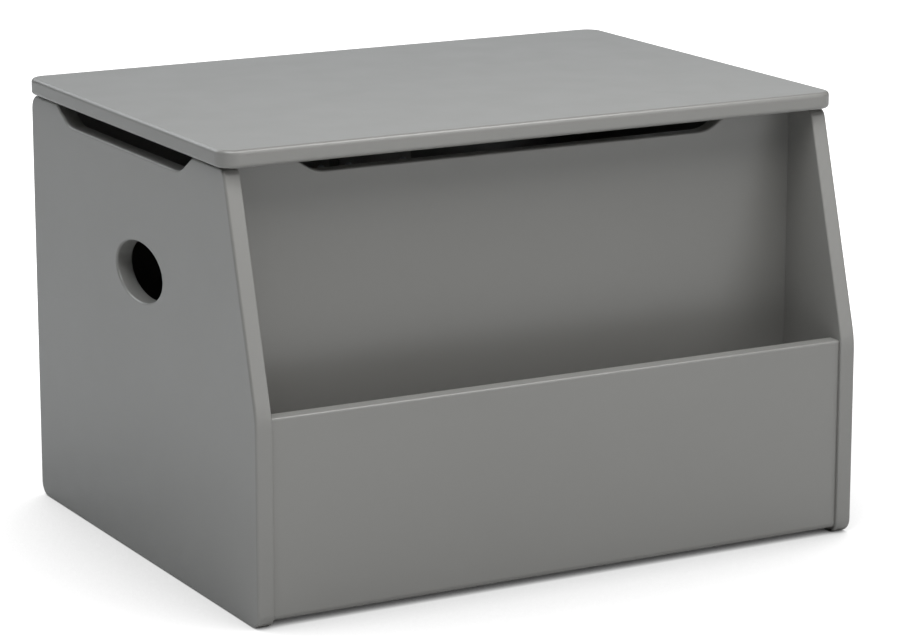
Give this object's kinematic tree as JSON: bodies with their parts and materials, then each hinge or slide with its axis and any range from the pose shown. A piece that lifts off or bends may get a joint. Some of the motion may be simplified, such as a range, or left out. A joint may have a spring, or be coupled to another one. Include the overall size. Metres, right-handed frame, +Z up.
{
  "type": "toy box",
  "caption": "Painted board toy chest with a hinged lid, a low open book bin in front, finger recesses under the lid and oval handle holes in its ends.",
  "frame": {"origin": "on the floor, under the middle of the box's width and depth", "axes": "+X to the right seen from the front, +Y to the back, +Z up"},
  "size_m": [0.596, 0.464, 0.392],
  "materials": {
    "painted_board": "satin grey paint",
    "beech": "bare fluted hardwood",
    "hinge_steel": "nickel plated",
    "zinc_hardware": "zinc plated",
    "acetal": "moulded",
    "clear_rubber": "translucent soft pad"
  },
  "bodies": {
    "case": {"left_end_panel": "painted_board", "right_end_panel": "painted_board", "front_panel": "painted_board", "divider_panel": "painted_board", "back_panel": "painted_board", "bottom_panel": "painted_board", "front_panel_cams": "zinc_hardware", "divider_cams": "zinc_hardware", "back_panel_cams": "zinc_hardware", "bottom_panel_cams": "zinc_hardware", "left_cam_bolts": "zinc_hardware", "right_cam_bolts": "zinc_hardware", "left_dowels": "beech", "right_dowels": "beech", "lid_bumpers": "clear_rubber", "left_hinge_frame_leaf": "hinge_steel", "left_hinge_pin": "zinc_hardware", "right_hinge_frame_leaf": "hinge_steel", "right_hinge_pin": "zinc_hardware", "left_support_frame_plate": "hinge_steel", "left_support_pin": "zinc_hardware", "right_support_frame_plate": "hinge_steel", "right_support_pin": "zinc_hardware", "hinge_frame_screws": "zinc_hardware", "support_frame_screws": "zinc_hardware"},
    "lid": {"lid": "painted_board", "left_hinge_lid_leaf": "hinge_steel", "right_hinge_lid_leaf": "hinge_steel", "left_support_lid_plate": "hinge_steel", "right_support_lid_plate": "hinge_steel", "left_support_friction_sleeve": "acetal", "right_support_friction_sleeve": "acetal", "hinge_lid_screws": "zinc_hardware", "support_lid_screws": "zinc_hardware"}
  },
  "joints": [
    {"name": "lid_hinge", "type": "hinge", "parent": "case", "child": "lid", "pos_m": [0, 0.227, 0.3715], "axis": [-1, 0, 0], "range_deg": [0, 90]}
  ]
}
